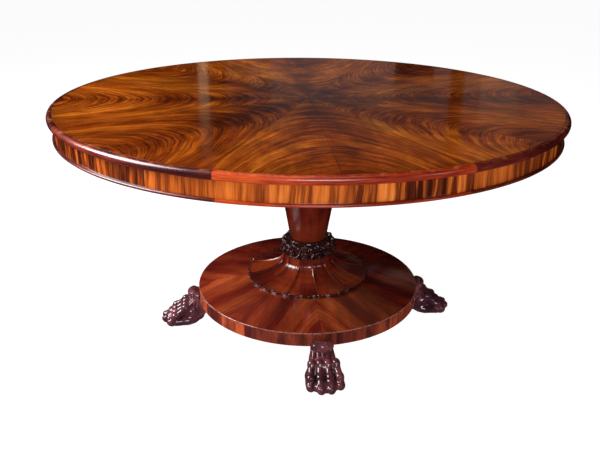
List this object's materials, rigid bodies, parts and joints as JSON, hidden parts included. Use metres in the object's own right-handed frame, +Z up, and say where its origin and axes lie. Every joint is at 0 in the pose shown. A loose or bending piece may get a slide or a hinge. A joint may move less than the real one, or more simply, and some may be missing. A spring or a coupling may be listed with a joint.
{
  "type": "round tilt-top pedestal table",
  "caption": "Round veneered tilt-top table on a tapering column, petal-carved base, round platform and carved paw feet.",
  "frame": {"origin": "on the floor, under the column's axis", "axes": "+Z up along the column; the top tips about an axis parallel to Y, its +X side rising; the feet stand on the diagonals between X and Y"},
  "size_m": [1.52, 1.52, 0.742],
  "materials": {
    "flame_veneer": "French polish",
    "striped_veneer": "French polish",
    "platform_veneer": "French polish",
    "rim_mahogany": "French polish",
    "column_mahogany": "French polish",
    "petal_mahogany": "French polish",
    "carved_mahogany": "French polish",
    "plain_mahogany": "sawn and oiled",
    "pine": "sawn and oiled",
    "brass": "worn",
    "iron": "worn"
  },
  "bodies": {
    "pedestal": {"bolt_plates": "brass", "column": "column_mahogany", "foot_dowels": "pine", "leaf_collar": "carved_mahogany", "paw_foot_1": "carved_mahogany", "paw_foot_2": "carved_mahogany", "paw_foot_3": "carved_mahogany", "paw_foot_4": "carved_mahogany", "petal_base": "petal_mahogany", "pivot_pins": "iron", "platform_core": "pine", "platform_edge_1": "platform_veneer", "platform_edge_2": "platform_veneer", "platform_edge_3": "platform_veneer", "platform_edge_4": "platform_veneer", "platform_veneer_1": "platform_veneer", "platform_veneer_2": "platform_veneer", "platform_veneer_3": "platform_veneer", "platform_veneer_4": "platform_veneer", "tie_rod": "iron", "tie_rod_nut": "iron", "top_block": "plain_mahogany"},
    "top": {"bearer_left": "plain_mahogany", "bearer_right": "plain_mahogany", "bearer_screws": "iron", "bolt_bushes": "brass", "frieze_bead": "rim_mahogany", "frieze_bricks": "pine", "frieze_veneer_1": "striped_veneer", "frieze_veneer_2": "striped_veneer", "frieze_veneer_3": "striped_veneer", "frieze_veneer_4": "striped_veneer", "frieze_veneer_5": "striped_veneer", "frieze_veneer_6": "striped_veneer", "frieze_veneer_7": "striped_veneer", "frieze_veneer_8": "striped_veneer", "glue_blocks": "pine", "rim_moulding_1": "rim_mahogany", "rim_moulding_2": "rim_mahogany", "rim_moulding_3": "rim_mahogany", "rim_moulding_4": "rim_mahogany", "rim_moulding_5": "rim_mahogany", "rim_moulding_6": "rim_mahogany", "rim_moulding_7": "rim_mahogany", "rim_moulding_8": "rim_mahogany", "top_board_1": "pine", "top_board_2": "pine", "top_board_3": "pine", "top_board_4": "pine", "top_veneer_1": "flame_veneer", "top_veneer_2": "flame_veneer", "top_veneer_3": "flame_veneer", "top_veneer_4": "flame_veneer", "top_veneer_5": "flame_veneer", "top_veneer_6": "flame_veneer", "top_veneer_7": "flame_veneer", "top_veneer_8": "flame_veneer"},
    "thumb_bolt_left": {"thumb_bolt_left": "brass"},
    "thumb_bolt_right": {"thumb_bolt_right": "brass"}
  },
  "joints": [
    {"name": "tilt", "type": "hinge", "parent": "pedestal", "child": "top", "pos_m": [-0.185, 0, 0.695], "axis": [0, -1, 0], "range_deg": [0, 74]},
    {"name": "bolt_left", "type": "slide", "parent": "pedestal", "child": "thumb_bolt_left", "axis": [0, 0, 1], "range_m": [0, 0.017]},
    {"name": "bolt_right", "type": "slide", "parent": "pedestal", "child": "thumb_bolt_right", "axis": [0, 0, 1], "range_m": [0, 0.017]}
  ]
}
